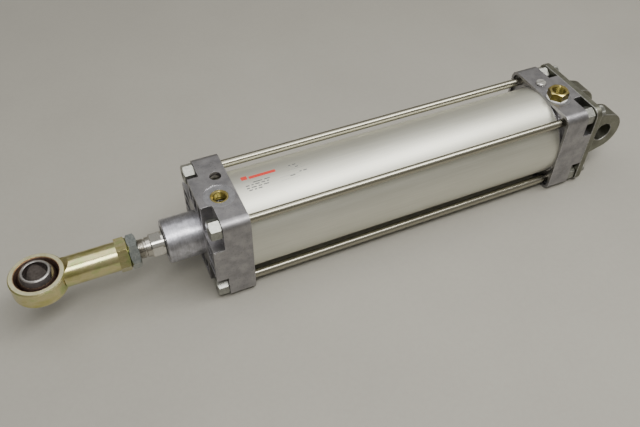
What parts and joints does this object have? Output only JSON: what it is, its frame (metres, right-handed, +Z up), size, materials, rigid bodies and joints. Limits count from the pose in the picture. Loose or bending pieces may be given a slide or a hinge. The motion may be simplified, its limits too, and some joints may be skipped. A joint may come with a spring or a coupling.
{
  "type": "pneumatic cylinder",
  "caption": "Double-acting tie-rod pneumatic cylinder with a spherical rod eye at one end and a narrow clevis at the other; air ports on top of both end covers.",
  "frame": {"origin": "centre of the rear clevis bore, midway between the two lugs", "axes": "+X along the cylinder axis from the rear clevis to the rod eye, +Y across the cylinder along the clevis bore, +Z up, towards the face with the air ports"},
  "size_m": [0.917, 0.14, 0.1533],
  "materials": {
    "cover_casting": "die-cast, tumbled, with rub marks",
    "guide_aluminium": "turned, with rub marks",
    "barrel_anodised": "fine satin anodised",
    "tie_rod_steel": "drawn stainless, satin",
    "nut_zinc": "bright zinc plated",
    "locknut_zinc": "blue-white zinc plated",
    "clevis_casting": "cast, dull",
    "rod_chrome": "hard chromed and polished",
    "eye_yellow_zinc": "yellow zinc passivated, faintly iridescent",
    "ball_steel": "hardened and polished bearing steel",
    "liner_bronze": "bronze",
    "port_brass": "turned brass",
    "washer_nylon": "white nylon",
    "screw_steel": "nickel plated",
    "piston_aluminium": "machined",
    "seal_polyurethane": "moulded polyurethane",
    "o_ring_rubber": "nitrile rubber",
    "wear_ring_plastic": "filled acetal",
    "magnet_ferrite": "plastic-bonded ferrite"
  },
  "bodies": {
    "cylinder": {"front_cover": "cover_casting", "rod_guide_housing": "guide_aluminium", "rear_cover": "cover_casting", "barrel": "barrel_anodised", "tie_rod_top_left": "tie_rod_steel", "tie_rod_top_right": "tie_rod_steel", "tie_rod_bottom_left": "tie_rod_steel", "tie_rod_bottom_right": "tie_rod_steel", "tie_rod_nuts_front": "nut_zinc", "tie_rod_nuts_rear": "nut_zinc", "rod_bearing": "liner_bronze", "rod_seal": "seal_polyurethane", "rod_wiper": "seal_polyurethane", "barrel_seal_front": "o_ring_rubber", "barrel_seal_rear": "o_ring_rubber", "cushion_seal_front": "seal_polyurethane", "cushion_seal_rear": "seal_polyurethane", "port_bush_front": "port_brass", "port_adaptor_rear": "port_brass", "port_washer_rear": "washer_nylon", "rear_clevis": "clevis_casting", "clevis_bolts": "nut_zinc"},
    "piston_seals": {"piston_seal_rear": "seal_polyurethane", "piston_seal_front": "seal_polyurethane", "piston_wear_ring": "wear_ring_plastic"},
    "rod": {"piston_half_rear": "piston_aluminium", "piston_half_front": "piston_aluminium", "magnet_ring": "magnet_ferrite", "piston_rod": "rod_chrome", "piston_inner_seal": "o_ring_rubber", "cushion_spear_front": "piston_aluminium", "cushion_spear_rear": "piston_aluminium", "rod_locknut": "locknut_zinc", "rod_end_housing": "eye_yellow_zinc", "rod_end_liner": "liner_bronze"},
    "ball": {"rod_end_ball": "ball_steel"},
    "front_screw_seal": {"cushion_screw_seal_front": "o_ring_rubber"},
    "front_screw": {"cushion_screw_front": "screw_steel"},
    "rear_screw_seal": {"cushion_screw_seal_rear": "o_ring_rubber"},
    "rear_screw": {"cushion_screw_rear": "screw_steel"}
  },
  "joints": [
    {"name": "piston_slide", "type": "slide", "parent": "cylinder", "child": "piston_seals", "axis": [1, 0, 0], "range_m": [0, 0.43]},
    {"name": "rod_turn", "type": "hinge", "parent": "piston_seals", "child": "rod", "pos_m": [0.13, 0, 0], "axis": [1, 0, 0], "continuous": true},
    {"name": "ball_tilt", "type": "hinge", "parent": "rod", "child": "ball", "pos_m": [0.849, 0, 0], "axis": [0, 1, 0], "range_deg": [-13, 13]},
    {"name": "front_screw_lift", "type": "slide", "parent": "cylinder", "child": "front_screw_seal", "axis": [0, 0, 1], "range_m": [0, 0.00401]},
    {"name": "front_screw_turn", "type": "hinge", "parent": "front_screw_seal", "child": "front_screw", "pos_m": [0.604, -0.021, 0.05], "axis": [0, 0, 1], "range_deg": [0, 1440]},
    {"name": "rear_screw_lift", "type": "slide", "parent": "cylinder", "child": "rear_screw_seal", "axis": [0, 0, 1], "range_m": [-0.00401, 0]},
    {"name": "rear_screw_turn", "type": "hinge", "parent": "rear_screw_seal", "child": "rear_screw", "pos_m": [0.087, -0.021, 0.05], "axis": [0, 0, 1], "range_deg": [-1440, 0]}
  ],
  "couplings": [
    {"joint": "front_screw_lift", "follows": "front_screw_turn", "m_per_rad": 0.00015915},
    {"joint": "rear_screw_lift", "follows": "rear_screw_turn", "m_per_rad": 0.00015915}
  ]
}
